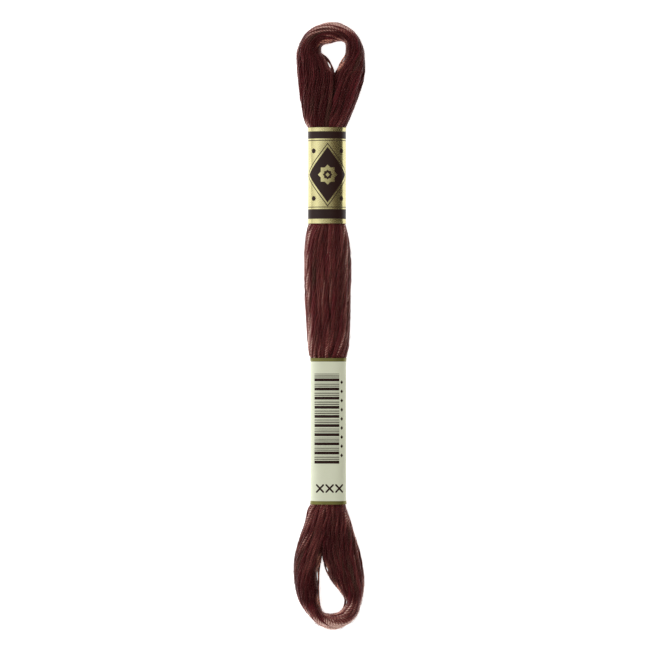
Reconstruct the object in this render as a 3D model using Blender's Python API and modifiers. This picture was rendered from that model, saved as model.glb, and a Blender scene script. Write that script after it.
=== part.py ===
"""Skein of six-strand embroidery floss, lying on its back, held by two paper bands.

The floss is one long thread wound round and round into a narrow ring. Two paper bands squeeze the
ring's sides together, so that the skein has a swollen barrel between the bands and an open loop
past each of them. The skein lies on a table: X across it, Y along it, Z up, with the origin on the
table under its middle. Sizes in the tables are millimetres.
"""

import math
from bisect import bisect_right
from collections import namedtuple
from itertools import accumulate

import bmesh
import bpy
from mathutils import Vector

MM = 0.001

# ---------------------------------------------------------------- driving sizes, in millimetres
FITTING_GAP = 0.3  # between a paper band and the floss inside it
PAPER_WALL = 0.4  # thickness of a band's wall
TURNS = 24  # turns of floss in the ring, each a ridge round a leg's section
RIDGE_DEPTH = 0.32  # how deep the groove between two turns is
RIDGE_SWAY = 0.05  # of a leg's girth, how far the turns creep round it on their way
SWAYS_PER_RING = 5
SEAM_ROUNDING = 0.14  # of the corners beside the seam between the ring's two sides
LEG_SLIT = 0.3  # between the ring's two sides, where they lie against each other
OUTLINE_STEPS = 96  # points of a leg's smooth outline, before the ridges are spread round it
INNER_SIDE = 0.8  # past this share of a leg's half width towards the other leg there's no ridge
SQUARENESS = 2.5  # exponent of the sections' outline: 2 is an ellipse, more is squarer
BAND_SQUARENESS = 3.0
FLAT_SHARE = 0.9  # a section's axis stands this share of its half thickness above its flat foot
STEPS_PER_ROW = 2  # sections lofted for each row of the tables
SLIT_FILL_WIDTH = 3.0  # of the floss that closes the slit below the surface
SLIT_FILL_DEPTH = 0.55  # how far below the surface it stays
BAND_CORNERS = 48  # points round a band

# ------------------------------------------------- the ring's sides, between the two loops' eyes
# y along the skein; x of its left edge, of the line where both sides meet, and of its right edge;
# thickness; height of its foot over the table, which is a band's wall and gap inside a band.
Body = namedtuple("Body", "y left split right thick lift")
IN_BAND = PAPER_WALL + FITTING_GAP
BODY = (
    Body(66.4, -8.6, 1.35, 9.5, 7.2, 0.0),
    Body(62.2, -8.1, 0.8, 8.1, 7.5, 0.0),
    Body(58.5, -7.65, 0.2, 6.75, 7.8, 0.0),
    Body(55.8, -7.0, -0.3, 5.7, 7.9, 0.0),
    Body(54.2, -6.3, -0.6, 5.0, 7.7, 0.0),
    Body(53.6, -5.1, -0.6, 3.9, 6.2, IN_BAND),
    Body(26.8, -5.0, -0.7, 3.6, 6.1, IN_BAND),
    Body(26.1, -6.1, -0.9, 4.8, 7.8, 0.0),
    Body(23.4, -6.6, -1.2, 5.4, 8.4, 0.0),
    Body(19.5, -7.0, -1.3, 5.9, 8.9, 0.0),
    Body(14.5, -7.1, -0.9, 6.05, 9.2, 0.0),
    Body(8.2, -6.85, -0.2, 5.9, 9.0, 0.0),
    Body(1.5, -6.4, 0.3, 5.8, 8.5, 0.0),
    Body(-4.7, -5.95, 0.2, 5.5, 7.9, 0.0),
    Body(-7.8, -5.65, -0.1, 5.1, 7.5, 0.0),
    Body(-8.5, -4.4, -0.2, 4.0, 6.0, IN_BAND),
    Body(-49.0, -4.45, -0.5, 3.45, 5.9, IN_BAND),
    Body(-49.7, -6.0, -0.6, 4.8, 7.4, 0.0),
    Body(-52.2, -6.8, -0.8, 5.7, 7.8, 0.0),
    Body(-56.6, -7.9, -1.3, 7.0, 7.8, 0.0),
    Body(-60.6, -9.1, -1.8, 8.1, 7.6, 0.0),
)

# -------------------------------------------------- the loops, each section cut across the thread
Loop = namedtuple("Loop", "outer_x outer_y inner_x inner_y thick lift")
TOP_LOOP = (  # from the left side over the eye to the right
    Loop(-8.9, 70.6, 1.2, 69.7, 7.0, 0.0),
    Loop(-8.9, 73.2, -0.8, 72.3, 6.7, 0.0),
    Loop(-8.2, 76.0, -2.4, 73.8, 6.5, 0.1),
    Loop(-6.6, 78.8, -2.5, 75.4, 6.3, 0.2),
    Loop(-3.6, 81.0, -1.0, 76.4, 6.1, 0.3),
    Loop(0.9, 82.2, 0.9, 76.7, 6.0, 0.3),
    Loop(5.2, 80.7, 3.0, 76.8, 6.0, 0.3),
    Loop(8.1, 77.9, 4.4, 75.8, 6.2, 0.2),
    Loop(9.5, 74.4, 4.7, 73.7, 6.5, 0.1),
    Loop(9.8, 71.0, 3.2, 71.0, 6.8, 0.0),
    Loop(9.75, 68.4, 1.95, 69.1, 7.1, 0.0),
)
BOTTOM_LOOP = (  # from the right side under the eye to the left
    Loop(9.1, -64.6, -1.3, -64.7, 7.3, 0.0),
    Loop(9.6, -68.4, 0.2, -68.6, 7.2, 0.0),
    Loop(9.8, -71.8, 2.3, -71.9, 7.1, 0.0),
    Loop(9.2, -75.0, 3.8, -74.2, 7.2, 0.1),
    Loop(7.8, -78.2, 3.7, -76.2, 7.4, 0.2),
    Loop(4.9, -80.9, 2.4, -77.8, 7.5, 0.3),
    Loop(1.0, -82.2, 0.4, -78.2, 7.5, 0.3),
    Loop(-3.3, -81.0, -0.8, -77.9, 7.5, 0.3),
    Loop(-6.5, -77.8, -1.8, -77.1, 7.4, 0.2),
    Loop(-8.5, -74.2, -2.4, -74.7, 7.2, 0.1),
    Loop(-9.5, -70.4, -2.6, -70.6, 7.2, 0.0),
    Loop(-9.8, -66.8, -2.5, -66.5, 7.3, 0.0),
    Loop(-9.5, -63.4, -2.25, -63.0, 7.5, 0.0),
)

# ------------------------------------------------------------------------------ the paper bands
Band = namedtuple("Band", "name y_top y_bottom x_top x_bottom width_top width_bottom thick")
BANDS = (
    Band("upper_band", 53.3, 27.1, -0.6, -0.7, 10.4, 10.0, 7.6),
    Band("lower_band", -8.8, -48.7, -0.2, -0.5, 9.8, 9.3, 7.4),
)

Section = namedtuple("Section", "outer_x outer_y inner_x inner_y thick lift joined")


def clear_scene():
    for obj in list(bpy.data.objects):
        bpy.data.objects.remove(obj, do_unlink=True)


def make_material(name, colour, roughness, metallic=0.0):
    material = bpy.data.materials.new(name)
    material.use_nodes = True
    shader = material.node_tree.nodes["Principled BSDF"]
    shader.inputs["Base Color"].default_value = (*colour, 1.0)
    shader.inputs["Roughness"].default_value = roughness
    shader.inputs["Metallic"].default_value = metallic
    return material


# ------------------------------------------------------------------------------ smooth tables
def slopes(places, values):
    """Slopes for a monotone cubic through the values, so that nothing swells between two rows."""
    steps = [b - a for a, b in zip(places, places[1:])]
    rises = [(b - a) / step for a, b, step in zip(values, values[1:], steps)]
    inner = []
    for before, after in zip(rises, rises[1:]):
        same_way = before * after > 0
        inner.append(2 * before * after / (before + after) if same_way else 0.0)
    return [0.0, *inner, 0.0]


def cubic(places, values, place):
    """The monotone cubic's value at a place among the rows."""
    ends = slopes(places, values)
    last = len(places) - 2
    row = next((i for i in range(last) if place < places[i + 1]), last)
    step = places[row + 1] - places[row]
    t = (place - places[row]) / step
    rise = values[row + 1] - values[row]
    bend = t * t * (3 - 2 * t)
    start = t * (1 - t) ** 2 * step * ends[row]
    finish = t * t * (t - 1) * step * ends[row + 1]
    return values[row] + rise * bend + start + finish


def side(rows, edge):
    """One side of the ring, as sections from the split line out to the left or right edge."""
    outwards = -1 if edge == "left" else 1
    return [
        Section(getattr(r, edge), r.y, r.split + outwards * LEG_SLIT / 2, r.y, r.thick, r.lift, 1.0)
        for r in rows
    ]


def ring_rows():
    """The whole ring: up the left side, over the top loop, down the right side, round the bottom."""
    top = [Section(*row, 0.0) for row in TOP_LOOP]
    bottom = [Section(*row, 0.0) for row in BOTTOM_LOOP]
    return side(BODY[::-1], "left") + top + side(BODY, "right") + bottom


def ring_sections():
    """The ring's rows with smooth sections between them, each lofted to the next."""
    rows = ring_rows()
    count = len(rows)
    padded = [rows[i % count] for i in range(-2, count + 3)]  # so that the seam is smooth too
    places = [0.0]
    for a, b in zip(padded, padded[1:]):
        outer = math.dist((a.outer_x, a.outer_y), (b.outer_x, b.outer_y))
        inner = math.dist((a.inner_x, a.inner_y), (b.inner_x, b.inner_y))
        places.append(places[-1] + (outer + inner) / 2)
    columns = list(zip(*padded))
    sections = []
    for row in range(2, count + 2):
        for step in range(STEPS_PER_ROW):
            share = step / STEPS_PER_ROW
            place = places[row] * (1 - share) + places[row + 1] * share
            sections.append(Section(*(cubic(places, column, place) for column in columns)))
    return sections


# ------------------------------------------------------------------------------ outlines
def rounded(cosine, exponent):
    """A cosine or sine, bent so that the outline that it draws is squarer than an ellipse."""
    return math.copysign(abs(cosine) ** (2 / exponent), cosine)


def leg_outline(section, half_width):
    """A leg's smooth outline, as distances outwards from the leg's middle and heights. A leg that
    is joined to the other is half of the outline that they have together. It dips under its foot."""
    half_thick = section.thick / (1 + FLAT_SHARE)
    outline = []
    for number in range(OUTLINE_STEPS):
        angle = math.tau * number / OUTLINE_STEPS
        across, up = rounded(math.cos(angle), SQUARENESS), rounded(math.sin(angle), SQUARENESS)
        half = SEAM_ROUNDING * up**6 - 1 if across < 0 else SEAM_ROUNDING - 1 + (2 - SEAM_ROUNDING) * across
        out = half_width * (across + (half - across) * section.joined)
        outline.append(Vector((out, section.lift + half_thick * (FLAT_SHARE + up))))
    return outline


def spaced_evenly(outline, count, start):
    """Points spread evenly round a closed outline, the first of them a share of the way round."""
    closed = outline + outline[:1]
    lengths = [0.0, *accumulate((b - a).length for a, b in zip(closed, closed[1:]))]
    points = []
    for number in range(count):
        place = (number / count + start) % 1 * lengths[-1]
        piece = bisect_right(lengths, place) - 1
        share = (place - lengths[piece]) / (lengths[piece + 1] - lengths[piece])
        points.append(closed[piece].lerp(closed[piece + 1], share))
    return points


def leg_ring(section, turned):
    """The points of one section of the ring, a ridge and a groove for each turn of floss. The side
    that lies against the other leg is plain."""
    outer = Vector((section.outer_x, section.outer_y))
    inner = Vector((section.inner_x, section.inner_y))
    middle, outwards = (outer + inner) / 2, (outer - inner).normalized()
    half_width = (outer - inner).length / 2
    smooth = spaced_evenly(leg_outline(section, half_width), 2 * TURNS, turned)
    points = []
    for corner, spot in enumerate(smooth):
        if corner % 2:
            along = smooth[(corner + 1) % len(smooth)] - smooth[corner - 1]
            inner_side = spot.x < -INNER_SIDE * half_width
            depth = RIDGE_DEPTH * (1 - section.joined if inner_side else 1)
            spot = spot + depth * Vector((-along.y, along.x)).normalized()
        place = middle + outwards * spot.x
        points.append(Vector((place.x, place.y, max(spot.y, section.lift))))
    return points


# ------------------------------------------------------------------------------ solids
def loft(name, rings, ends, collection):
    """A mesh object through rings of equally many points. Its ends are "joined" to each other,
    "capped" or left "open"."""
    mesh = bpy.data.meshes.new(name)
    shape = bmesh.new()
    rows = [[shape.verts.new(point * MM) for point in ring] for ring in rings]
    following = rows[1:] + rows[:1] if ends == "joined" else rows[1:]
    for row, after_row in zip(rows, following):
        for i in range(len(row)):
            after = (i + 1) % len(row)
            shape.faces.new((row[i], row[after], after_row[after], after_row[i]))
    if ends == "capped":
        shape.faces.new(rows[0])
        shape.faces.new(rows[-1][::-1])
    bmesh.ops.triangulate(shape, faces=shape.faces[:])
    bmesh.ops.recalc_face_normals(shape, faces=shape.faces[:])
    shape.to_mesh(mesh)
    shape.free()
    obj = bpy.data.objects.new(name, mesh)
    collection.objects.link(obj)
    return obj


def floss_hank(collection, cutters):
    """The wound floss: a ring with two eyes, its sides joined below the surface where they touch."""
    sections = ring_sections()
    rings = []
    for number, section in enumerate(sections):
        sway = math.tau * SWAYS_PER_RING * number / len(sections)
        rings.append(leg_ring(section, RIDGE_SWAY * math.sin(sway)))
    hank = loft("floss_hank", rings, "joined", collection)

    fill = loft("slit_fill", [fill_ring(row) for row in BODY], "capped", cutters)
    fill.hide_render = True
    fill.display_type = "WIRE"
    join = hank.modifiers.new("join_sides", "BOOLEAN")
    join.operation = "UNION"
    join.solver = "EXACT"
    join.object = fill
    return hank


def fill_ring(row):
    """A section of the floss between the ring's two sides, a box well inside their outline."""
    half_width = SLIT_FILL_WIDTH / 2
    low, high = row.lift + SLIT_FILL_DEPTH, row.lift + row.thick - SLIT_FILL_DEPTH
    left, right = row.split - half_width, row.split + half_width
    corners = ((left, low), (right, low), (right, high), (left, high))
    return [Vector((x, row.y, z)) for x, z in corners]


def paper_band(collection, band):
    """A band of paper round the skein, flat underneath, as an open sleeve with a thin wall."""
    half_thick = band.thick / (1 + FLAT_SHARE)
    rings = []
    for y, x, width in (
        (band.y_bottom, band.x_bottom, band.width_bottom),
        (band.y_top, band.x_top, band.width_top),
    ):
        ring = []
        for corner in range(BAND_CORNERS):
            angle = math.tau * corner / BAND_CORNERS
            across = rounded(math.cos(angle), BAND_SQUARENESS)
            up = rounded(math.sin(angle), BAND_SQUARENESS)
            z = max(half_thick * (FLAT_SHARE + up), 0.0)
            ring.append(Vector((x + across * width / 2, y, z)))
        rings.append(ring)
    sleeve = loft(band.name, rings, "open", collection)
    wall = sleeve.modifiers.new("paper", "SOLIDIFY")
    wall.thickness = PAPER_WALL * MM
    wall.offset = -1
    wall.use_even_offset = True
    return sleeve


def shade(obj, material):
    obj.data.materials.append(material)
    obj.data.shade_smooth()
    obj.data.set_sharp_from_angle(angle=math.radians(50))


def main():
    clear_scene()
    skein = bpy.data.collections.new("embroidery_floss_skein")
    cutters = bpy.data.collections.new("cutters")
    bpy.context.scene.collection.children.link(skein)
    bpy.context.scene.collection.children.link(cutters)
    floss = make_material("floss", (0.085, 0.022, 0.020), 0.5)
    gold_paper = make_material("gold_paper", (0.52, 0.46, 0.22), 0.35, 0.6)
    pale_paper = make_material("pale_paper", (0.68, 0.70, 0.58), 0.55)
    shade(floss_hank(skein, cutters), floss)
    for band, paper in zip(BANDS, (gold_paper, pale_paper)):
        shade(paper_band(skein, band), paper)


main()
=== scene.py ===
"""A skein of six-strand embroidery floss on a pale table, seen from straight above.

The floss is one thread of six strands, wound round and round into a narrow ring and held by two
paper bands. Each strand is laid turn by turn: first the floss finds its place in the ring's
section, next its six strands twist round each other, and then strands that touch push each other
apart. Where they are pressed together they still overlap. Sizes are in millimetres until a mesh
is made.
"""

import math
from collections import namedtuple

import bpy
import numpy as np
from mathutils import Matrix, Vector


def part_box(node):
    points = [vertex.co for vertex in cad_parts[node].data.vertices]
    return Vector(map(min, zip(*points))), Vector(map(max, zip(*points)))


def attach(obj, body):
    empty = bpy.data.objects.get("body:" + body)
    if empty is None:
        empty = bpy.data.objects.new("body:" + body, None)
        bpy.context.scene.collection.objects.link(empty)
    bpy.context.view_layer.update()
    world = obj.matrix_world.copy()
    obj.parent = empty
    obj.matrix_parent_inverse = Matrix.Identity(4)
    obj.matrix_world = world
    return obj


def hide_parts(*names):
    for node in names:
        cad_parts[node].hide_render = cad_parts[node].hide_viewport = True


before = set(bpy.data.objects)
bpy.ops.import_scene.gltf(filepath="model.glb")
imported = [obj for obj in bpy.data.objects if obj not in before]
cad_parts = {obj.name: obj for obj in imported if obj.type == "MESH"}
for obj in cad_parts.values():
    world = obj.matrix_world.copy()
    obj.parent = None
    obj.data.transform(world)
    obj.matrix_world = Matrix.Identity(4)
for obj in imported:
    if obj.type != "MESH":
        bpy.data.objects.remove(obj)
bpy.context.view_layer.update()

MM = 0.001
chance = np.random.default_rng(24)

# -------------- driving sizes
TURNS = 24  # turns of floss in the ring
CREEP = 5  # each turn of the floss comes to lie this many places beside the last
CROSSINGS = 18  # pairs of turns that change places for a while
STRANDS = 6  # strands in the floss
STRAND_RADIUS = 0.23
FLOSS_RADIUS = 0.56  # of the six strands together
PLIES = 2  # in each strand
PLY_PITCH = 1.5  # length in which a strand's plies go once round each other
TWIST_PITCH = 14.0  # length in which the six strands go once round each other
STATION = 0.85  # distance between two rings of points along a strand
STRAND_SIDES = 6
FLAT_SHARE = 0.9  # a section's axis stands this share of its half thickness above its flat foot
SQUARENESS = 2.5  # exponent of the sections' outline: 2 is an ellipse, more is squarer
SKIN_ROOM = 0.08  # between the outermost strands and their section's outline
FLOSS_OVER_SPLIT = 0.35  # how far the floss may reach over the line where the ring's sides meet
STRANDS_OVER_SPLIT = 0.5  # and how far its strands may
PAPER = 0.16  # thickness of the bands' paper
PAPER_ROOM = 0.05  # between the paper and the strands inside it
BAND_END = 0.4  # from a band's cut edge to the floss section that is fitted to it
STRAY_FIBRES = 480  # fine fibres that stand off each strand
CLEAR_OF_PAPER = 2.0  # from the bands to the nearest stray fibre

# -------------- the ring's sides, between the two loops' eyes
# y along the skein; x of its left edge, of the line where both sides meet, and of its right edge;
# thickness; height of its foot over the table.
Body = namedtuple("Body", "y left split right thick lift", defaults=(0.0,))
ABOVE_UPPER_BAND = (
    Body(67.8, -8.8, 1.5, 9.8, 7.2),
    Body(62.2, -8.2, 0.8, 8.25, 7.5),
    Body(58.5, -7.5, 0.2, 6.85, 7.8),
    Body(55.8, -7.0, -0.3, 5.7, 7.9),
    Body(54.2, -6.3, -0.6, 5.0, 7.7),
)
BARREL = (
    Body(26.1, -6.1, -0.9, 4.8, 7.8),
    Body(23.4, -6.55, -1.2, 5.45, 8.4),
    Body(19.5, -6.85, -1.3, 5.95, 8.9),
    Body(14.5, -6.85, -0.9, 6.1, 9.2),
    Body(8.2, -6.75, -0.2, 5.9, 9.0),
    Body(1.5, -6.4, 0.3, 5.8, 8.5),
    Body(-4.7, -5.95, 0.2, 5.5, 7.9),
    Body(-7.8, -5.65, -0.1, 5.1, 7.5),
)
BELOW_LOWER_BAND = (
    Body(-49.7, -6.0, -0.6, 4.8, 7.4),
    Body(-52.2, -6.45, -0.8, 5.75, 7.8),
    Body(-56.6, -7.9, -1.3, 7.0, 7.8),
    Body(-60.9, -9.2, -2.0, 8.45, 7.6),
)

# -------------- the loops, each section cut across the thread
Loop = namedtuple("Loop", "outer_x outer_y inner_x inner_y thick lift", defaults=(0.0,))
TOP_LOOP = (  # from the left side over the eye to the right
    Loop(-9.0, 70.4, 1.2, 69.5, 7.0),
    Loop(-9.0, 73.2, -0.3, 72.2, 6.7),
    Loop(-8.2, 76.0, -2.1, 73.7, 6.5, 0.1),
    Loop(-6.6, 78.8, -2.1, 75.0, 6.3, 0.2),
    Loop(-3.6, 81.0, -0.9, 75.9, 6.1, 0.3),
    Loop(0.9, 82.2, 0.9, 76.2, 6.0, 0.3),
    Loop(5.2, 80.7, 3.1, 76.8, 6.0, 0.3),
    Loop(8.1, 77.9, 4.4, 75.8, 6.2, 0.2),
    Loop(9.5, 74.4, 4.3, 73.6, 6.5, 0.1),
    Loop(9.8, 71.0, 2.8, 71.0, 6.8),
    Loop(9.85, 69.0, 2.0, 69.5, 7.1),
)
BOTTOM_LOOP = (  # from the right side under the eye to the left
    Loop(9.15, -64.2, -1.75, -64.2, 7.3),
    Loop(9.6, -68.4, 0.2, -68.6, 7.2),
    Loop(9.45, -71.6, 2.75, -71.8, 7.1),
    Loop(8.7, -75.0, 4.05, -74.2, 7.2, 0.1),
    Loop(7.7, -78.2, 3.65, -76.1, 7.4, 0.2),
    Loop(4.9, -80.9, 2.4, -77.4, 7.5, 0.3),
    Loop(1.0, -82.3, 0.4, -77.8, 7.5, 0.3),
    Loop(-2.9, -80.9, -1.2, -77.6, 7.5, 0.3),
    Loop(-6.1, -77.7, -1.95, -76.7, 7.4, 0.2),
    Loop(-8.4, -74.2, -2.4, -74.7, 7.2, 0.1),
    Loop(-9.35, -70.4, -2.6, -70.6, 7.2),
    Loop(-9.7, -66.8, -2.5, -66.5, 7.3),
    Loop(-9.6, -63.4, -1.95, -63.2, 7.5),
)


class Band:
    """A paper band's place and size, from its solid in the frame."""

    def __init__(self, node, split_low, split_high, trim, squareness):
        low, high = (np.array(corner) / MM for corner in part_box(node))
        self.y_low, self.y_high = low[1] + trim, high[1]
        self.squareness = squareness
        self.middle = (low[0] + high[0]) / 2
        self.width, self.thick = high[0] - low[0], high[2]
        self.splits = split_low, split_high

    def rows_inside(self):
        """The ring's sides at both ends of the band, just inside its paper."""
        room = PAPER + PAPER_ROOM
        left, right = self.middle - self.width / 2 + room, self.middle + self.width / 2 - room
        high, low = self.y_high - BAND_END, self.y_low + BAND_END
        ends = ((high, self.splits[1]), (low, self.splits[0]))
        return tuple(Body(y, left, split, right, self.thick - 2 * room, room) for y, split in ends)


upper = Band("upper_band", -0.7, -0.6, trim=0.35, squareness=2.6)
lower = Band("lower_band", -0.5, -0.2, trim=0.5, squareness=3.3)
BODY = ABOVE_UPPER_BAND + upper.rows_inside() + BARREL + lower.rows_inside() + BELOW_LOWER_BAND


# -------------- the ring's form
JOINED, APART = 1.0, 0.0  # whether the ring's two sides lie against each other


def side(rows, edge):
    """One side of the ring, as sections from the split line out to the left or right edge."""
    return [(getattr(r, edge), r.y, r.split, r.y, r.thick, r.lift, JOINED) for r in rows]


def ring_rows():
    """The whole ring: up the left side, over the top, down the right side, round the bottom."""
    top, bottom = ([(*row, APART) for row in loop] for loop in (TOP_LOOP, BOTTOM_LOOP))
    return np.array(side(BODY[::-1], "left") + top + side(BODY, "right") + bottom)


def running(steps):
    """The total before each of the steps in a row, and after the last."""
    totals = np.cumsum(steps, axis=-1)
    return np.concatenate([np.zeros_like(totals[..., :1]), totals], axis=-1)


def monotone(places, rows, at):
    """A monotone cubic through each column of the rows, so that nothing swells between them."""
    steps = np.diff(places)[:, None]
    rises = np.diff(rows, axis=0) / steps
    before, after = rises[:-1], rises[1:]
    same_way = before * after > 0
    slopes = np.zeros_like(rows)
    slopes[1:-1] = np.where(same_way, 2 * before * after / np.where(same_way, before + after, 1), 0)
    row = np.clip(np.searchsorted(places, at, side="right") - 1, 0, len(steps) - 1)
    step = steps[row]
    t = (at - places[row])[:, None] / step
    rise = rows[row + 1] - rows[row]
    start = t * (1 - t) ** 2 * step * slopes[row]
    finish = t * t * (t - 1) * step * slopes[row + 1]
    return rows[row] + rise * t * t * (3 - 2 * t) + start + finish


def ring_stations():
    """Sections of the ring at even distances, from the middle of the lower band's left side."""
    rows = ring_rows()
    count = len(rows)
    padded = rows[np.arange(-2, count + 3) % count]
    gaps = np.linalg.norm(np.diff(padded[:, :4].reshape(-1, 2, 2), axis=0), axis=2).mean(axis=1)
    places = running(gaps)
    length = places[count + 2] - places[2]
    number = round(length / STATION)
    at = places[2] + np.arange(number) * length / number
    stations = monotone(places, padded, at)
    middle_of_band = (lower.y_low + lower.y_high) / 2
    first = np.argmax((stations[:, 0] < 0) & (stations[:, 1] > middle_of_band))
    return np.roll(stations, -first, axis=0), length / number


ring, station_step = ring_stations()
STATIONS = len(ring)
outer_edge, inner_edge = ring[:, 0:2], ring[:, 2:4]
ring_middle = (outer_edge + inner_edge) / 2
ring_reach = (outer_edge - inner_edge) / 2
half_width = np.linalg.norm(ring_reach, axis=1)
outwards = ring_reach / half_width[:, None]
half_thick = ring[:, 4] / (1 + FLAT_SHARE)
lift, joined = ring[:, 5], ring[:, 6]


def rounded(cosine, exponent):
    return np.sign(cosine) * np.abs(cosine) ** (2 / exponent)


OUTLINE_POINTS = 121  # points on a section's outline, from which its length is measured


class Envelope:
    """The outline of every station's section, drawn in by a margin, in which a row of points is
    (distance outwards, height). Where the ring's two sides are joined, a side is half of the
    outline that they have together, its axis is the line between them, and it may reach over
    that line a little."""

    def __init__(self, margin, reach_over):
        self.axis = -joined * half_width
        self.out = half_width * (1 + joined) - margin
        self.back = np.maximum((half_width - margin) * (1 - joined), 0.05)
        self.wall = -half_width + margin * (1 - joined) - reach_over * joined
        self.up = half_thick - margin
        self.centre = lift + FLAT_SHARE * half_thick
        self.foot = lift + margin

    def shares(self, points):
        """How far points lie out and up, as shares of the outline's reach there."""
        across = points[..., 0] - self.axis[:, None]
        up = points[..., 1] - self.centre[:, None]
        reach = np.where(across > 0, self.out[:, None], self.back[:, None])
        counted = (across > 0) | (joined[:, None] < 0.5)
        return across / reach * counted, up / self.up[:, None], across, up

    def around(self, share):
        """Points on the closed outline at shares of its length, from its outermost point."""
        angle = np.linspace(0, math.tau, OUTLINE_POINTS)
        cosine, sine = rounded(np.cos(angle), SQUARENESS), rounded(np.sin(angle), SQUARENESS)
        reach = np.where(cosine > 0, self.out[:, None], self.back[:, None])
        across = self.axis[:, None] + reach * cosine
        height = self.centre[:, None] + self.up[:, None] * sine
        height = np.maximum(height, self.foot[:, None])
        length = running(np.hypot(np.diff(across), np.diff(height)))
        at = share % 1 * length[:, -1:]
        points = []
        for a, s, x, z in zip(at, length, across, height):
            points.append(np.stack([np.interp(a, s, x), np.interp(a, s, z)], axis=-1))
        return np.array(points)

    def inwards(self, points, share):
        """Points moved a share of the way to the outline's middle."""
        middle = np.stack([self.axis * 0.5, self.centre], axis=-1)[:, None, :]
        return points + share[..., None] * (middle - points)

    def hold(self, points):
        """Draws points that lie outside the outline back to it. Their shape is (stations, n, 2)."""
        out_share, up_share, across, up = self.shares(points)
        level = np.abs(out_share) ** SQUARENESS + np.abs(up_share) ** SQUARENESS
        scale = np.maximum(level, 1) ** (-1 / SQUARENESS)
        out = np.maximum(self.axis[:, None] + across * scale, self.wall[:, None])
        height = np.maximum(self.centre[:, None] + up * scale, self.foot[:, None])
        return np.stack([out, height], axis=-1)

    def to_skin(self, points):
        """The way from each point straight to the outline, of length 1."""
        out_share, up_share, _, _ = self.shares(points)
        way = np.stack([out_share / self.out[:, None], up_share / self.up[:, None]], axis=-1)
        return way / (np.linalg.norm(way, axis=-1, keepdims=True) + 1e-6)


floss_envelope = Envelope(FLOSS_RADIUS, FLOSS_OVER_SPLIT)
strand_envelope = Envelope(STRAND_RADIUS + SKIN_ROOM, STRANDS_OVER_SPLIT)


def smoothed(track, width):
    """Values along the thread, smoothed over a width in millimetres. The thread's ends stay."""
    width = width / station_step
    reach = int(3 * width) + 1
    weights = np.exp(-0.5 * (np.arange(-reach, reach + 1) / width) ** 2)
    weights /= weights.sum()
    start, end = np.repeat(track[:1], reach, 0), np.repeat(track[-1:], reach, 0)
    padded = np.concatenate([start, track, end])
    result = np.zeros_like(track)
    for shift, weight in enumerate(weights):
        result += weight * padded[shift : shift + len(track)]
    return result


def wander(length, width, *shape):
    """Random values along the thread that change slowly, of about unit size."""
    values = smoothed(chance.normal(size=(length, *shape)), width)
    return values / values.std()


def as_thread(laid):
    """From (stations, turns, ...) to one row of stations along the whole thread, and back below."""
    return np.swapaxes(laid, 0, 1).reshape(TURNS * STATIONS, *laid.shape[2:])


def as_ring(thread):
    return np.swapaxes(thread.reshape(TURNS, STATIONS, *thread.shape[1:]), 0, 1)


class OtherSide:
    """For every station where the ring's two sides are joined, what lies in the other side's
    section at the same place along the skein."""

    def __init__(self):
        number = np.arange(STATIONS)
        self.before = np.zeros(STATIONS, int)
        self.share = np.zeros(STATIONS)
        is_joined = joined > 0.5
        is_left, is_right = outwards[:, 0] < 0, outwards[:, 0] > 0
        for this, other in ((is_left, is_right), (is_right, is_left)):
            there = number[is_joined & other]
            there = there[np.argsort(ring_middle[there, 1])]
            here = number[is_joined & this]
            at = np.interp(ring_middle[here, 1], ring_middle[there, 1], there)
            self.before[here], self.share[here] = np.floor(at), at % 1
        self.here = number[is_joined]

    def seen(self, points):
        """The other side's points in this side's own (distance outwards, height)."""
        first = self.before[self.here]
        share = self.share[self.here][:, None, None]
        theirs = points[first] * (1 - share) + points[(first + 1) % STATIONS] * share
        x = ring_middle[first, None, 0] + theirs[..., 0] * outwards[first, None, 0]
        across = (x - ring_middle[self.here, None, 0]) * outwards[self.here, None, 0]
        return np.stack([across, theirs[..., 1]], axis=-1)


other_side = OtherSide()


def push_from(points, others, distance, same):
    """How points move that lie closer than a distance to others in their section."""
    out = points[:, :, None, 0] - others[:, None, :, 0]
    up = points[:, :, None, 1] - others[:, None, :, 1]
    push = np.sqrt(out * out + up * up + 1e-8, dtype=np.float32)
    push = np.maximum(distance[:, None, None] / push - 1, 0)
    if same:
        itself = np.arange(points.shape[1])
        push[:, itself, itself] = 0
    return 0.5 * np.stack([(out * push).sum(axis=2), (up * push).sum(axis=2)], axis=-1)


def push_apart(points, distance):
    """Moves points of each station that lie closer than a distance away from each other."""
    moved = points + push_from(points, points, distance, True)
    here = other_side.here
    moved[here] += push_from(points[here], other_side.seen(points), distance[here], False)
    return moved


# -------------- laying the floss
CROSSING_RUN = (22, 60)  # shortest and longest way that a turn runs in its neighbour's place
CROSSING_RAMP = (7, 11)  # and the way that it takes to get there
FLOSS_ROUNDS = 40  # of pushing the turns apart
STRAND_ROUNDS = 24  # and of pushing their strands apart
SECTION_FULLNESS = 0.88  # a section's area, as a share of the rectangle round it
CORE_RADIUS = 0.08  # of the path of the floss's middle strand
RING_RADIUS = 0.36  # of the paths of the five round it


def crossings(length):
    """Here and there a turn crosses its neighbour, runs on in its place and crosses back. Gives
    how many places each point of the thread shifts, and how far it dips under the other turn."""
    shift, dip = np.zeros(length), np.zeros(length)
    to_neighbour = CREEP * STATIONS  # CREEP turns later the floss lies in the next place
    for _ in range(CROSSINGS):
        run = chance.uniform(*CROSSING_RUN) / station_step
        ramp = chance.uniform(*CROSSING_RAMP) / station_step
        steps = np.arange(int(run))
        over = np.clip(np.minimum(steps, run - steps) / ramp, 0, 1)
        over = over * over * (3 - 2 * over)
        first = chance.integers(0, length - to_neighbour - len(steps))
        here, there = first + steps, first + to_neighbour + steps
        shift[here] += over
        shift[there] -= over
        dip[there if chance.random() < 0.5 else here] += 4 * over * (1 - over)
    return shift, dip


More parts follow.
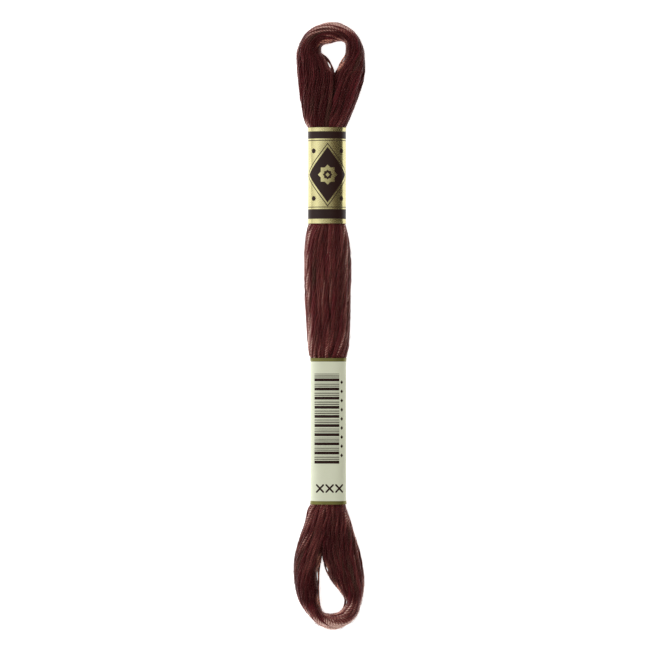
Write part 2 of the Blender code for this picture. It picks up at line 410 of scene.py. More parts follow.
def lay_floss():
    """Each turn's place in each station's section. The turns lie side by side in the skin, the
    whole thread creeping round the section as it goes, and here and there one slips under its
    neighbours."""
    length = TURNS * STATIONS
    shift, dip = crossings(length)
    place = (1 + CREEP / TURNS) * np.arange(length) / STATIONS
    place = place + (shift + 0.5 * wander(length, 18)) / TURNS  # straying half a place
    depth = 0.13 * np.maximum(wander(length, 12) - 0.6, 0) + 0.3 * dip
    laid = floss_envelope.around(as_ring(place))
    laid = floss_envelope.inwards(laid, as_ring(depth))
    area = 2 * half_width * 2 * half_thick * SECTION_FULLNESS
    spacing = np.clip(0.98 * np.sqrt(area / TURNS), 0.9, 1.9 * FLOSS_RADIUS)
    for step in range(FLOSS_ROUNDS):
        laid = laid + 0.008 * floss_envelope.to_skin(laid)
        laid = floss_envelope.hold(push_apart(laid, spacing))
        if step % 8 == 7:
            laid = as_ring(smoothed(as_thread(laid), 1.5))
    return laid


def lay_strands(floss):
    """The six strands of each turn, twisted round each other: one in the middle and five round it.
    Where the floss is slack they spread over the skin, in between their neighbours."""
    thread = as_thread(floss)
    length = len(thread)
    place = np.arange(length) * station_step
    turned = np.exp(1j * (math.tau * place / TWIST_PITCH + 1.1 * wander(length, 23)))[:, None]
    loose = np.tile(1 - joined, TURNS)  # only in the loops
    slack = np.clip(0.35 + 0.35 * wander(length, 22) + 0.4 * loose, 0, 1)
    strands = []
    for number in range(STRANDS):
        angle = math.tau * number / (STRANDS - 1) + 0.35 * wander(length, 10)
        radius = RING_RADIUS if number else CORE_RADIUS
        radius = radius * (1 + 0.22 * wander(length, 8)) * (1 + 0.6 * slack)
        strands.append(radius * np.exp(1j * angle))
    reach = np.stack(strands, axis=1) * turned
    laid = as_ring(thread[:, None, :] + np.stack([reach.real, reach.imag], axis=-1))
    laid = laid.reshape(STATIONS, TURNS * STRANDS, 2).astype(np.float32)
    spacing = ((2.0 + 0.3 * (1 - joined)) * STRAND_RADIUS).astype(np.float32)
    outward_pull = 0.004 + 0.026 * (1 - joined[:, None, None])
    most_apart = (0.5 + 0.6 * slack)[:, None]
    for step in range(STRAND_ROUNDS):
        laid = laid + outward_pull * strand_envelope.to_skin(laid)
        laid = strand_envelope.hold(push_apart(laid, spacing)).astype(np.float32)
        if step % 3 == 2:
            by_turn = as_thread(laid.reshape(STATIONS, TURNS, STRANDS, 2))
            centre = by_turn.mean(axis=1, keepdims=True)
            reach = (by_turn - centre) @ np.array([1, 1j])
            reach = smoothed(reach / turned, 1.6) * turned
            reach = reach * np.minimum(1, 0.5 + 0.5 * most_apart / (np.abs(reach) + 1e-6))
            by_turn = smoothed(centre, 1.4) + np.stack([reach.real, reach.imag], axis=-1)
            laid = as_ring(by_turn).reshape(laid.shape).astype(np.float32)
    return strand_envelope.hold(laid).reshape(STATIONS, TURNS, STRANDS, 2).astype(float)


# where the innermost strands stand off from the rest, and light shows through: x, y, length, gap
SLITS = (
    (-0.7, 72.3, 4.0, 0.22),
    (0.6, 70.1, 5.0, 0.38),
    (3.6, 71.0, 6.0, 0.24),
    (-2.7, -67.4, 8.5, 0.16),
    (-0.2, -65.6, 4.4, 0.18),
    (3.9, -74.3, 4.6, 0.15),
)
SLIT_STRANDS = 2  # strands that stay at the eye's edge
SLIT_GIVE = 3.0  # how far from a slit the other strands still give way


def open_slits(laid):
    """Draws the other strands back from the innermost ones, so that a slit opens there."""
    number = np.arange(STATIONS)
    out = laid.reshape(STATIONS, TURNS * STRANDS, 2)[..., 0]
    for x, y, length, gap in SLITS:
        station = np.argmin(np.linalg.norm(inner_edge - (x, y), axis=1))
        order = np.argsort(out[station])
        innermost, others = order[:SLIT_STRANDS], order[SLIT_STRANDS:]
        away = (number - station) * station_step / (length / 2)
        bump = np.where(np.abs(away) < 1, np.cos(away * math.pi / 2) ** 2, 0)[:, None]
        edge = out[:, innermost].max(axis=1)[:, None] + 2 * STRAND_RADIUS + gap
        first = out[:, others].min(axis=1)[:, None]
        near = np.clip(1 - (out[:, others] - first) / SLIT_GIVE, 0, 1)
        out[:, others] += bump * np.maximum(edge - first, 0) * near
    return laid


def in_place(laid):
    """Points along the thread in the skein's frame, from their (outwards, height) in a section."""
    middle, out = np.tile(ring_middle, (TURNS, 1)), np.tile(outwards, (TURNS, 1))
    flat = middle + out * laid[:, 0:1]
    return np.concatenate([flat, laid[:, 1:2]], axis=1)


# -------------- meshes
def new_object(name, data):
    thing = bpy.data.objects.new(name, data)
    bpy.context.scene.collection.objects.link(thing)
    return thing


def new_piece(name, points, faces, material):
    mesh = bpy.data.meshes.new(name)
    mesh.from_pydata(np.asarray(points) * MM, [], np.asarray(faces).tolist())
    mesh.polygons.foreach_set("use_smooth", np.ones(len(mesh.polygons), bool))
    mesh.materials.append(material)
    return new_object(name, mesh)


def add_uv(piece, name, corners):
    """A UV map from (faces, corners, 2) values, with none for faces past their end."""
    layer = piece.data.uv_layers.new(name=name)
    values = np.zeros((len(piece.data.loops), 2), np.float32)
    flat = corners.reshape(-1, 2)
    values[: len(flat)] = flat
    layer.uv.foreach_set("vector", values.ravel())


def tubes(centres, radii, sides):
    """Points and faces of round tubes along rows of centres (tubes, rings, 3), with the length and
    the girth's share at each face's corners."""
    ahead = np.gradient(centres, axis=1)
    ahead /= np.linalg.norm(ahead, axis=2, keepdims=True)
    right = np.cross(ahead, (0.0, 0.0, 1.0))
    right /= np.linalg.norm(right, axis=2, keepdims=True)
    up = np.cross(right, ahead)
    angle = (math.tau * np.arange(sides) / sides)[:, None]
    around = np.cos(angle) * right[:, :, None] + np.sin(angle) * up[:, :, None]
    points = centres[:, :, None] + radii[:, :, None, None] * around

    count, rings = centres.shape[:2]
    number, row, corner = np.indices((count, rings - 1, sides))
    first = (number * rings + row) * sides
    after = (corner + 1) % sides
    faces = [first + corner, first + after, first + sides + after, first + sides + corner]
    length = running(np.linalg.norm(np.diff(centres, axis=1), axis=2))
    start, end = length[number, row], length[number, row + 1]
    low, high = corner / sides, (corner + 1) / sides
    corners = [(start, low), (start, high), (end, high), (end, low)]
    corners = np.stack([np.stack(pair, axis=-1) for pair in corners], axis=-2)
    return points.reshape(-1, 3), np.stack(faces, axis=-1).reshape(-1, 4), corners.reshape(-1, 4, 2)


STRAND_PART = 0.98  # of the baked map's height; the stray fibres have the rest
MAP_EDGE = 0.02  # left free at both sides of the baked map
ROW_EDGE = 0.04  # left free at both edges of each row in it


def strip_map(corners):
    """A long tube's map, cut into rows that fill a square."""
    length = corners[..., 0].max()
    girth = math.tau * STRAND_RADIUS
    rows = math.ceil(math.sqrt(length / girth))
    row_length = length / rows
    row = np.minimum(np.floor(corners[..., 0].mean(axis=1) / row_length), rows - 1)
    along = (corners[..., 0] - row[:, None] * row_length) / row_length
    up = (row[:, None] + ROW_EDGE + (1 - 2 * ROW_EDGE) * corners[..., 1]) / rows
    return np.stack([MAP_EDGE + (1 - 2 * MAP_EDGE) * along, STRAND_PART * up], axis=-1)


def row_map(corners, count):
    """The map of many short tubes, side by side above the strand's own."""
    number = np.arange(len(corners)) // (len(corners) // count)
    along = (number[:, None] + 0.1 + 0.8 * corners[..., 0] / corners[..., 0].max()) / count
    up = STRAND_PART + (1 - STRAND_PART) * (0.2 + 0.6 * corners[..., 1])
    return np.stack([along, up], axis=-1)


NEAR_SKIN = 0.86  # share of a section's reach beyond which a strand counts as in the skin
FIBRE_LENGTHS = (0.8, 2.6)  # shortest and longest
FIBRE_HEIGHTS = (0.05, 0.42)  # how far they stand off
FIBRE_RADII = (0.016, 0.03)  # thinnest and thickest
FIBRE_TAPER = (0, 1, 1, 0.9, 0.7, 0)  # a fibre's radius from root to tip
FIBRE_SIDES = 3
OVER_TABLE = 0.04  # the lowest that a stray fibre lies


def stray_fibres(laid, centres):
    """Centres of short bent fibres that spring from a strand where it lies in the skein's skin."""
    by_ring = as_ring(laid)
    out_share, up_share, _, _ = strand_envelope.shares(by_ring)
    near_skin = as_thread(np.hypot(out_share, up_share)) > NEAR_SKIN
    y = centres[:, 1]
    in_paper = np.zeros(len(y), bool)
    for band in (upper, lower):
        in_paper |= (y >= band.y_low - CLEAR_OF_PAPER) & (y <= band.y_high + CLEAR_OF_PAPER)
    roots = chance.choice(np.flatnonzero(near_skin & ~in_paper), STRAY_FIBRES, replace=False)
    way = as_thread(strand_envelope.to_skin(by_ring))[roots]
    outwards_there = np.tile(outwards, (TURNS, 1))[roots]
    skin = np.concatenate([outwards_there * way[:, :1], way[:, 1:]], axis=1)
    ahead = np.gradient(centres, axis=0)[roots]
    to_or_fro = chance.choice([-1, 1], (STRAY_FIBRES, 1))
    ahead *= to_or_fro / np.linalg.norm(ahead, axis=1, keepdims=True)
    length = chance.uniform(*FIBRE_LENGTHS, (STRAY_FIBRES, 1, 1))
    height = chance.uniform(*FIBRE_HEIGHTS, (STRAY_FIBRES, 1, 1))
    lean = chance.normal(0, 0.25, (STRAY_FIBRES, 1, 3))
    along = np.linspace(0, 1, len(FIBRE_TAPER))[:, None]
    rise = STRAND_RADIUS * 0.7 + height * np.sin(along * 0.75 * math.pi)
    fibres = centres[roots, None] + rise * skin[:, None] + length * along * ahead[:, None]
    fibres = fibres + lean * along**2
    fibres[..., 2] = np.maximum(fibres[..., 2], OVER_TABLE)
    return fibres


# painted highlights: how much paler the floss is painted where it bends round an eye: places from
# the eye (-1) to the outer edge (1), and what is added to its tone there
TOP_BEND = ((-1.0, -0.6, -0.35, 0.0, 0.3, 0.6, 1.0), (0.20, 0.10, 0.0, 0.02, 0.22, 0.42, 0.48))
BOTTOM_BEND = ((-1.0, -0.5, 0.0, 0.3, 0.6, 1.0), (0.38, 0.50, 0.54, 0.50, 0.48, 0.50))
LOOPS_FROM = 50  # distance from the skein's middle at which the loops' shading sets in
LOOPS_RAMP = 8  # and the length in which it grows
LOOP_REACH = 9  # from the skein's middle line to about the loops' outer edge


def paint_light_and_shade(laid, centres):
    """How much paler each point of a strand is painted, how much its own streaks show, and how far
    it is painted as if light shines through. The loops' bends and all rims get painted highlights,
    the left rim more than the right outside the lower loop, and the loops' sides painted shade, as
    light falls."""
    ahead = np.gradient(centres, axis=0)
    bend = np.abs(ahead[:, 0]) / np.linalg.norm(ahead, axis=1)  # 1 where it runs across the skein
    out_share = laid[:, 0] / np.tile(half_width, TURNS)  # from -1 at the eye to 1 at the outer edge
    right = centres[:, 0] / LOOP_REACH
    is_top = centres[:, 1] > 0
    in_loop = np.clip((np.abs(centres[:, 1]) - LOOPS_FROM) / LOOPS_RAMP, 0, 1)
    in_lower_loop = in_loop * ~is_top

    # painted highlights on the bends and painted shade on the loops' sides, a little different left
    # and right
    at_top = np.interp(out_share, *TOP_BEND) + 0.15 * right
    at_bend = np.where(is_top, at_top, np.interp(out_share, *BOTTOM_BEND))
    at_side = np.where(is_top, 0.39 + 0.11 * right, 0.54 - 0.22 * right)
    bent = np.where(is_top, bend**1.2, np.where(right < 0, bend**0.85, bend**0.6))
    # painted highlight on the rims: strong on the left, where the light comes from, weak on the
    # right but for the lower loop
    left_rim = 0.34 - 0.06 * in_loop + 0.1 * in_lower_loop
    right_rim = 0.06 + 0.34 * in_lower_loop
    rim = np.clip((out_share - 0.35 - 0.35 * in_loop) / 0.25, 0, 1)
    rim = rim * np.where(right < 0, left_rim, right_rim)
    paler = in_loop * (at_bend * bent - at_side * (1 - bent)) + rim * (1 - bend * in_loop)
    streaky = 1 + in_loop * (1.4 * bend - 0.4) + 0.5 * in_lower_loop

    # painted light shining through the strands along the eyes' edges
    on_left = np.tile(outwards[:, 0] < 0, TURNS)
    over_eye = 2.4 * np.clip((-out_share - 0.55) / 0.25, 0, 1)
    over_eye = over_eye * np.clip((bend - 0.4) / 0.45, 0.1, 1)
    beside_eye = np.clip((-out_share - 0.6) / 0.25, 0, 1)
    beside_eye = beside_eye * np.where(on_left, 1.1 - 0.4 * bend, 0.8 * bend)
    shining = np.where(is_top, over_eye, beside_eye) * np.tile(1 - joined, TURNS)
    return paler, streaky, shining


STREAKS = 0.12  # how much a strand's own paler and darker lengths show
PALEST, DARKEST = 1.1, -0.22  # the most that such a length is paler, and how dark it may get
FIBRE_SHADE = 0.3  # how much paler a single fibre looks than the floss


def strand_piece(number, laid, turn_shade, material):
    """One of the six strands, 8 m long, as a tube with its stray fibres. Its colour follows the
    whole floss and its own paler and darker lengths, which show most on the loops' bends, with
    painted highlights on the bends and rims and painted shade on the loops' sides added."""
    centres = in_place(laid)
    radii = STRAND_RADIUS * (1 + 0.07 * wander(len(centres), 3))
    radii[[0, -1]] = 0
    points, faces, corners = tubes(centres[None], radii[None], STRAND_SIDES)
    fibres = stray_fibres(laid, centres)
    thin = np.array(FIBRE_TAPER) * chance.uniform(*FIBRE_RADII, (STRAY_FIBRES, 1))
    fibre_points, fibre_faces, fibre_corners = tubes(fibres, thin, FIBRE_SIDES)
    piece = new_piece(
        f"floss_strand_{number + 1}",
        np.concatenate([points, fibre_points]),
        np.concatenate([faces, fibre_faces + len(points)]),
        material,
    )
    add_uv(piece, "Thread", np.concatenate([corners, fibre_corners]))
    baked = np.concatenate([strip_map(corners), row_map(fibre_corners, STRAY_FIBRES)])
    add_uv(piece, "OFBake", baked)

    own = wander(len(centres), 11)
    paler, streaky, shining = paint_light_and_shade(laid, centres)
    streak = np.maximum(STREAKS * streaky * np.minimum(own, PALEST), DARKEST)
    # the strand's tone: its own streaks plus painted highlights and painted shade
    shade = turn_shade + streak + 0.075 * wander(len(centres), 4) + paler
    shining = np.clip(shining * (0.35 + 0.75 * wander(len(centres), 1.4)), 0, 1)
    for name, values, of_fibres in (("dye", shade, FIBRE_SHADE), ("shining", shining, 0.0)):
        values = [np.repeat(values, STRAND_SIDES), np.full(len(fibre_points), of_fibres)]
        layer = piece.data.attributes.new(name, "FLOAT", "POINT")
        layer.data.foreach_set("value", np.concatenate(values).astype(np.float32))
    return piece


# -------------- finishes
class Number:
    """A number that varies over a surface. Its operators add Math nodes."""

    def __init__(self, finish, socket):
        self.finish, self.socket = finish, socket

    def math(self, operation, *values):
        sockets = dict(enumerate((self, *values)))
        return self.finish.node("Math", {"operation": operation}, sockets)

    def __add__(self, other):
        return self.math("ADD", other)

    def __sub__(self, other):
        return self.math("SUBTRACT", other)

    def __rsub__(self, other):
        return self.finish.node("Math", {"operation": "SUBTRACT"}, {0: other, 1: self})

    def __mul__(self, other):
        return self.math("MULTIPLY", other)

    def __truediv__(self, other):
        return self.math("DIVIDE", other)

    def __abs__(self):
        return self.math("ABSOLUTE")

    __radd__, __rmul__ = __add__, __mul__

    def least(self, other):
        """The smaller of two."""
        return self.math("MINIMUM", other)

    def most(self, other):
        """The larger of two."""
        return self.math("MAXIMUM", other)

    def below(self, limit, soft):
        """1 where the number is under the limit and 0 above it, with a soft edge."""
        return ((limit - self) / soft + 0.5).most(0.0).least(1.0)

    def between(self, low, high, soft):
        return self.below(high, soft) * (1 - self.below(low, soft))


class Nodes:
    """Adds nodes to a material or the room."""

    def __init__(self, owner, shader):
        owner.use_nodes = True
        self.tree = owner.node_tree
        self.shader = self.tree.nodes[shader]

    def node(self, kind, settings=None, sockets=None, output=0):
        node = self.tree.nodes.new("ShaderNode" + kind)
        for name, value in (settings or {}).items():
            if name == "stops":
                self.set_stops(node.color_ramp, value)
            else:
                setattr(node, name, value)
        for name, value in (sockets or {}).items():
            self.feed(node.inputs[name], value)
        return Number(self, node.outputs[output])

    def feed(self, socket, value):
        if isinstance(value, Number):
            self.tree.links.new(value.socket, socket)
        else:
            socket.default_value = value

    @staticmethod
    def set_stops(ramp, stops):
        while len(ramp.elements) < len(stops):
            ramp.elements.new(1.0)
        for element, (place, colour) in zip(ramp.elements, stops):
            element.position, element.color = place, (*colour, 1.0)

    def parts(self, vector):
        """The three numbers of a vector."""
        first = self.node("SeparateXYZ", sockets={0: vector})
        return [Number(self, output) for output in first.socket.node.outputs]

    def point(self, *parts):
        """A vector of three numbers."""
        return self.node("CombineXYZ", {}, dict(enumerate(parts)))

    def ramp(self, value, stops):
        """A colour that follows a number through stops of (number, colour)."""
        return self.node("ValToRGB", {"stops": stops}, {0: value})

    def shades(self, value, stops):
        """A grey that follows a number through stops of (number, shade)."""
        return self.ramp(value, [(at, (shade,) * 3) for at, shade in stops])

    def mix(self, share, first, second):
        """A colour between two, by their share."""
        colours = [c if isinstance(c, Number) else (*c, 1.0) for c in (first, second)]
        settings = {"data_type": "RGBA", "clamp_factor": True}
        return self.node("Mix", settings, {0: share, 6: colours[0], 7: colours[1]}, 2)

    def map_parts(self, name):
        """The two numbers of a UV map."""
        return self.parts(self.node("UVMap", {"uv_map": name}))[:2]

    def own_place(self):
        """The place in the piece's own frame, in metres."""
        return self.node("TexCoord", {}, {}, 3)

    def attribute(self, name):
        """The number that a mesh's points carry under a name."""
        return self.node("Attribute", {"attribute_name": name}, {}, 2)

    def noise(self, vector, scale, detail):
        return self.node("TexNoise", {}, {"Vector": vector, "Scale": scale, "Detail": detail})

    def set(self, **sockets):
        for name, value in sockets.items():
            self.feed(self.shader.inputs[name.replace("_", " ")], value)


class Finish(Nodes):
    """A material and the nodes that its Principled shader reads."""

    def __init__(self, name, **constants):
        self.material = bpy.data.materials.new(name)
        super().__init__(self.material, "Principled BSDF")
        self.set(**constants)

    def bump(self, height, distance):
        """Relief from a number, of a distance in millimetres where it goes from 0 to 1."""
        sockets = {"Height": height, "Distance": distance * MM, "Strength": 1.0}
        self.set(Normal=self.node("Bump", {}, sockets))


DYE_AND_PAINTED_LIGHT_RAMP = (  # from painted shade to painted highlights
    (0.0, (0.018, 0.0018, 0.0025)),
    (0.25, (0.039, 0.0062, 0.0068)),
    (0.5, (0.078, 0.0185, 0.0185)),
    (0.7, (0.165, 0.0440, 0.0390)),
    (0.85, (0.370, 0.1500, 0.1220)),
    (1.0, (0.780, 0.5500, 0.4900)),
)
CRIMSON = (0.115, 0.0150, 0.0215)  # where the dye is cooler
UMBER = (0.032, 0.0240, 0.0150)  # and where it is browner
SHINING = (1.000, 0.4500, 0.3300)  # and where light shines through


def floss_finish():
    """Mercerised cotton, two plies to a strand, dyed red-brown, with a soft sheen."""
    finish = Finish(
        "floss",
        Sheen_Weight=0.34,
        Sheen_Roughness=0.3,
        Sheen_Tint=(1.0, 0.44, 0.42, 1.0),
        Specular_IOR_Level=0.5,
        Specular_Tint=(1.0, 0.22, 0.24, 1.0),
    )
    along, around = finish.map_parts("Thread")
    turned = around + along / PLY_PITCH  # stays the same along a ply
    ply = (turned * (PLIES * math.tau)).math("SINE") * 0.5 + 0.5
    fibres = finish.noise(finish.point(along * 0.9, turned * 9.0, 0.0), 1.6, 3.0)
    patches = finish.noise(finish.point(along * 0.22, turned * 1.2, 3.0), 1.0, 2.0)
    vat = finish.noise(finish.point(along * 0.05, 7.0, 0.0), 1.0, 2.0)
    dye = finish.attribute("dye")
    # the plies paint shade into the grooves between them and glints onto their crowns, besides
    # their bump
    depth = 0.43 + dye + (fibres - 0.5) * 0.7 + (patches - 0.5) * 0.2 + (ply - 0.6) * 0.42
    colour = finish.ramp(depth, DYE_AND_PAINTED_LIGHT_RAMP)
    plain = (1 - abs(dye) * 2.2).most(0.0)  # neither painted light nor painted shade
    uneven = 0.2 + ply * 0.5 + fibres * 0.6
    colour = finish.mix(((vat - 0.52) * 11.0 * plain).least(1.0) * uneven, colour, CRIMSON)
    colour = finish.mix(((0.48 - vat) * 11.0 * plain).least(1.0) * uneven, colour, UMBER)
    # painted light shining through at the eyes' edges, dotted along the plies and fibres
    shining = finish.attribute("shining")
    colour = finish.mix(shining * (ply * 1.3 + fibres * 1.4 - 0.55).most(0.0), colour, SHINING)
    finish.set(Base_Color=colour, Roughness=0.32 + (fibres - 0.5) * 0.3)
    finish.bump(ply.math("POWER", 0.6) + fibres * 0.45, 0.055)
    return finish.material


GOLD = (0.66, 0.61, 0.32)
GOLD_WORN = (0.57, 0.52, 0.27)
INK = (0.024, 0.0085, 0.0075)
GOLD_EDGE = (0.20, 0.19, 0.06)
PAPER_PALE = (0.80, 0.85, 0.66)
PAPER_CORE = (0.74, 0.73, 0.68)
PAPER_SHADE = (0.60, 0.58, 0.52)


class Print:
    """A print on a band: the place on the paper in millimetres, and how much ink or gold is there.
    Across is measured from the middle of the band's face, and along from its lower end."""

    def __init__(self, finish):
        self.finish = finish
        self.across, self.along = finish.map_parts("Paper")
        place = finish.point(self.across, self.along, 0.0)
        self.fine = finish.noise(place, 3.2, 3.0)
        self.coarse = finish.noise(place, 0.35, 2.0)
        self.edge = 0.05 + (self.fine - 0.5) * 0.02

    def stripe(self, low, high):
        return self.along.between(low, high, self.edge)

    def column(self, low, high):
        return self.across.between(low, high, self.edge)

    def lozenge(self, across, along, half_width, half_height):
        reach = abs(self.across - across) / half_width + abs(self.along - along) / half_height
        return reach.below(1.0, self.edge / min(half_width, half_height))

    def lozenge_line(self, across, along, half_width, half_height, line):
        outside = self.lozenge(across, along, half_width, half_height)
        slope = line * math.hypot(1 / half_width, 1 / half_height)
        inside = self.lozenge(across, along, half_width * (1 - slope), half_height * (1 - slope))
        return outside - inside

    def square(self, across, along, half):
        reach = abs(self.across - across).most(abs(self.along - along))
        return reach.below(half, self.edge)

    def star(self, across, along, radius):
        """An eight-pointed star: a square and a lozenge on each other."""
        half = radius / math.sqrt(2)
        return self.square(across, along, half).most(self.lozenge(across, along, radius, radius))

    def cross_stitch(self, across, along, half, thread):
        """Two slanted stitches that cross."""
        right, up = self.across - across, self.along - along
        stitches = abs(right - up).least(abs(right + up)).below(thread * math.sqrt(2), self.edge)
        return stitches * self.square(across, along, half)


def gold_band_finish():
    """Gold print with dark bars, and a lozenge panel with an eight-pointed star."""
    finish = Finish("gold_paper", Specular_IOR_Level=0.25)
    sheet = Print(finish)
    length = upper.y_high - upper.y_low
    middle = length / 2 + 0.2
    bars = sheet.stripe(1.25, 3.85) + sheet.stripe(length - 3.0, length - 1.05)
    panel = sheet.lozenge(0, middle, 5.7, 7.5) - sheet.star(0, middle, 2.7)
    panel = panel + sheet.star(0, middle, 1.35) - sheet.lozenge(0, middle, 0.6, 0.6)
    frame_line = sheet.lozenge_line(0, middle, 6.6, 8.6, 0.24)
    corners = ((-4.0, 6.4), (4.0, 6.4), (-4.0, -6.4), (4.0, -6.4))
    small = sum(sheet.star(across, middle + along, 0.75) for across, along in corners)
    rules = sheet.stripe(4.3, 4.5) + sheet.stripe(length - 3.6, length - 3.4)
    inked = (bars + panel + frame_line + small + rules).least(1.0)
    worn = sheet.coarse.between(0.56, 0.9, 0.2) * 0.6 + (sheet.fine - 0.5) * 0.25
    gold = finish.mix(worn, GOLD, GOLD_WORN)
    finish.set(
        Base_Color=finish.mix(inked, gold, INK),
        Metallic=0.94 - inked * 0.94,
        Roughness=0.27 + (sheet.fine - 0.5) * 0.08 + inked * 0.15,
    )
    finish.bump(sheet.fine * 0.5 + sheet.coarse * 2.0 - inked * 0.3, 0.007)
    return finish.material


def pale_band_finish():
    """Pale paper with gold edges, a ribbed block of rules and a row of cross stitches."""
    finish = Finish("pale_paper", Specular_IOR_Level=0.15)
    sheet = Print(finish)
    length = lower.y_high - lower.y_low
    edges = sheet.stripe(-1.0, 0.9) + sheet.stripe(length - 0.95, length + 1)
    block_low, block_high, repeat = 10.8, 35.4, 2.46
    in_block = sheet.stripe(block_low, block_high) * sheet.column(-4.3, 2.7)
    step = ((sheet.along - block_low) / repeat).math("FRACT") * repeat
    edges_in_repeat = ((0.2, 1.0), (1.25, 1.5), (1.75, 1.95), (2.16, 2.28))
    rules = sum(step.between(low, high, 0.05) for low, high in edges_in_repeat)
    stitches = sum(sheet.cross_stitch(column, 4.3, 1.15, 0.24) for column in (-2.7, 0.0, 2.7))
    heights = [block_low + 2.4 + number * repeat for number in range(9)]
    lozenges = sum(sheet.lozenge(3.45, height, 0.42, 0.55) for height in heights)
    inked = (rules * in_block + stitches + lozenges).least(1.0)
    paper = finish.mix(sheet.coarse * 0.35 + (sheet.fine - 0.5) * 0.3, PAPER_PALE, PAPER_CORE)
    gilded = finish.mix(edges, paper, GOLD_EDGE)
    finish.set(
        Base_Color=finish.mix(inked, gilded, INK),
        Metallic=edges * 0.5,
        Roughness=0.5 - edges * 0.1 + (sheet.fine - 0.5) * 0.1,
    )
    finish.bump(sheet.fine + sheet.coarse * 2.0, 0.012)
    return finish.material


def paper_core_finish():
    """The bands' unprinted inside and cut edges."""
    finish = Finish("paper_core", Specular_IOR_Level=0.3)
    fibres = finish.noise(finish.own_place(), 2500.0, 3.0)
    colour = finish.mix(fibres, PAPER_CORE, PAPER_SHADE)
    finish.set(Base_Color=colour, Roughness=0.75 + fibres * 0.15)
    finish.bump(fibres, 0.02)
    return finish.material


# -------------- the paper bands
LAP_ANGLE = math.radians(-38)  # where the strip's outer end is glued down, at the right-hand side
LAP = math.radians(34)  # how far the strip overlaps itself
FLARE = 0.16  # how far the cut edges stand open
FLARE_LENGTH = 1.6  # and the width of paper that bends outwards there
UNDER_SKIN = 0.06  # from the solid's outline in to the paper's outside
AROUND = 150  # points round the strip


def band_section(band, angle, inset):
    """Points (x, z) of the band's outline at angles round its axis, drawn in by a distance."""
    half_high = band.thick / (1 + FLAT_SHARE)
    x = band.middle + rounded(np.cos(angle), band.squareness) * (band.width / 2 - inset)
    z = FLAT_SHARE * half_high + rounded(np.sin(angle), band.squareness) * (half_high - inset)
    return x, np.maximum(z, inset)


def strip_faces(rows):
    """Faces of a strip of paper from its outer and its inner layer of points: first all of its
    outside, then its inside and its cut edges."""
    row, column = np.meshgrid(np.arange(rows - 1), np.arange(AROUND - 1), indexing="ij")
    corner = (row * AROUND + column).ravel()
    face = np.stack([corner, corner + 1, corner + AROUND + 1, corner + AROUND], axis=-1)
    to_inner, last_row = rows * AROUND, (rows - 1) * AROUND
    border = []
    for at in range(AROUND - 1):
        border += [(at, at + 1), (last_row + at + 1, last_row + at)]
    for low in range(0, last_row, AROUND):
        high = low + AROUND
        border += [(high, low), (low + AROUND - 1, high + AROUND - 1)]
    edges = [(start, end, end + to_inner, start + to_inner) for start, end in border]
    return np.concatenate([face[:, ::-1], face + to_inner, np.array(edges)]), len(face)


def paper_band(name, band, rows, finish, core):
    """A strip of paper wrapped round the skein, its end lapped over its start."""
    angle = LAP_ANGLE - LAP + (math.tau + LAP) * np.linspace(0, 1, AROUND)
    start = np.clip((angle - angle[0]) / LAP, 0, 1)
    under = PAPER * 1.1 * (1 - start * start * (3 - 2 * start))  # its start lies under its end
    y = np.linspace(band.y_low, band.y_high, rows)
    from_end = np.minimum(y - band.y_low, band.y_high - y)
    flare = FLARE * np.clip(1 - from_end / FLARE_LENGTH, 0, 1) ** 2
    ripple = 0.02 * np.sin(3 * angle + 1.0)[None, :] * np.sin(y / 3.1)[:, None]
    ripple = ripple + 0.012 * np.sin(7 * angle)[None, :] * np.cos(y / 1.9 + 2)[:, None]
    on_top = np.clip(np.sin(angle) + 0.6, 0, 1)[None, :]
    layers = []
    for depth in (0.0, PAPER):
        inset = UNDER_SKIN + under[None, :] + depth - on_top * (flare[:, None] + ripple)
        x, z = band_section(band, angle[None, :], inset)
        z = np.maximum(z, under[None, :] + depth)
        layers.append(np.stack([x, np.broadcast_to(y[:, None], x.shape), z], axis=-1))
    points = np.concatenate([layer.reshape(-1, 3) for layer in layers])

    faces, outside = strip_faces(rows)
    piece = new_piece(name, points, faces, finish)
    piece.data.materials.append(core)
    is_core = np.arange(len(faces)) >= outside
    piece.data.polygons.foreach_set("material_index", is_core.astype(np.int32))
    piece.data.set_sharp_from_angle(angle=math.radians(40))

    strip = layers[0][0]
    girth = running(np.linalg.norm(np.diff(strip[:, [0, 2]], axis=0), axis=1))
    top = np.argmin(np.abs(angle - math.pi / 2))
    across, along = np.broadcast_arrays(girth[top] - girth[None, :], (y - band.y_low)[:, None])
    places = np.stack([across, along], axis=-1).reshape(-1, 2)
    add_uv(piece, "Paper", places[faces % len(places)])
    return piece


# -------------- making the skein
floss = floss_finish()
strands = as_thread(open_slits(lay_strands(lay_floss())))
turn_shade = 0.11 * wander(len(strands), 32)
for number in range(STRANDS):
    piece = strand_piece(number, strands[:, number], turn_shade, floss)
    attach(piece, "root")
    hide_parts("floss_hank")

core = paper_core_finish()
for node, band, rows, slot, finish in (
    ("upper_band", upper, 60, "gold_paper", gold_band_finish()),
    ("lower_band", lower, 84, "pale_paper", pale_band_finish()),
):
    piece = paper_band(node + "_paper", band, rows, finish, core)
    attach(piece, "root")
    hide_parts(node)


# -------------- table and light
ROOM_STRENGTH = 1.4
FROM_LEFT_WALL = ((0.0, 0.55), (0.2, 0.78), (0.36, 0.74), (0.5, 0.42))  # to straight above
TO_RIGHT_WALL = ((0.55, 0.18), (0.7, 0.05), (1.0, 0.02))
ROOM_ALONG = ((0.0, 0.0), (0.35, 0.03), (0.6, 0.4), (0.85, 0.72))  # from above to both ends
ROOM_UPWARDS = ((0.0, 0.4), (0.03, 0.16), (0.08, 0.03), (0.3, 0.0))  # from the table up
ROOM_TINT = (  # dim parts of the room are brown
    (0.0, (0.0, 0.0, 0.0)),
    (0.08, (0.085, 0.057, 0.030)),
    (0.35, (0.35, 0.335, 0.28)),
    (1.0, (1.0, 1.0, 1.0)),
)


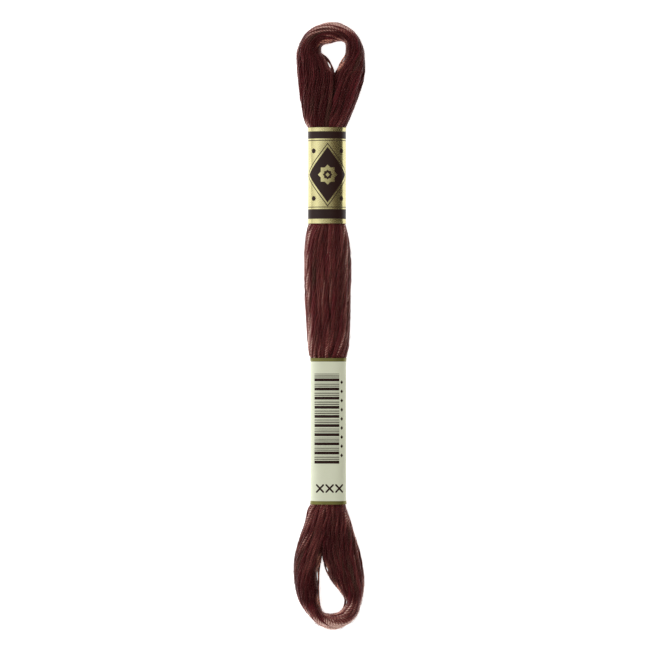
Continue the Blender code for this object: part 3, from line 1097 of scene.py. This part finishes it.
def pale_table():
    """A pale table that glows a little, as under a light tent."""
    finish = Finish("table", Roughness=0.9, Specular_IOR_Level=0.0)
    grain = finish.noise(finish.own_place(), 60.0, 2.0)
    finish.set(Base_Color=finish.mix(grain, (0.86, 0.86, 0.86), (0.88, 0.88, 0.88)))
    finish.set(Emission_Color=(1.0, 1.0, 1.0, 1.0), Emission_Strength=0.9)
    half, top = 1500, -0.2
    corners = [(-half, -half, top), (half, -half, top), (half, half, top), (-half, half, top)]
    new_piece("table", corners, [(0, 1, 2, 3)], finish.material)


def soft_light(name, place, size, power):
    """A square softbox that faces the skein."""
    light = bpy.data.lights.new(name, "AREA")
    light.shape, light.size, light.energy = "SQUARE", size, power
    lamp = new_object(name, light)
    lamp.location = place
    lamp.rotation_euler = Vector(place).to_track_quat("Z", "Y").to_euler()


def pale_room():
    """White walls on the left and at both ends, dark overhead where the camera is, and dim on the
    right but for the glow near the table."""
    world = bpy.data.worlds.new("room")
    room = Nodes(world, "Background")
    across, along, upwards = room.parts(room.node("TexCoord"))
    side_walls = room.shades(across * 0.5 + 0.5, FROM_LEFT_WALL + TO_RIGHT_WALL)
    end_walls = room.shades(abs(along), ROOM_ALONG)
    near_table = room.shades(upwards, ROOM_UPWARDS)
    light = side_walls.most(end_walls).most(near_table)
    room.set(Color=room.ramp(light, ROOM_TINT), Strength=ROOM_STRENGTH)
    bpy.context.scene.world = world


def camera_above():
    """Straight above the skein, far off, with the photograph's frame of 655 pixels."""
    frame_pixels, pixel = 655, 0.27 * MM
    distance, sensor = 1.0, 0.036
    camera = bpy.data.cameras.new("camera")
    camera.sensor_width = sensor / MM
    camera.lens = sensor * distance / (frame_pixels * pixel) / MM
    skein_column, skein_row = 329.2, 325.4  # the pixel over the skein's origin
    x, y = (frame_pixels / 2 - skein_column) * pixel, (skein_row - frame_pixels / 2) * pixel
    skin_height = 4 * MM
    holder = new_object("camera", camera)
    holder.location = (x, y, distance + skin_height)
    bpy.context.scene.camera = holder


pale_table()
soft_light("key", place=(-0.50, 0.16, 0.44), size=0.6, power=0.35)
pale_room()
camera_above()
bpy.context.scene.view_settings.view_transform = "Standard"
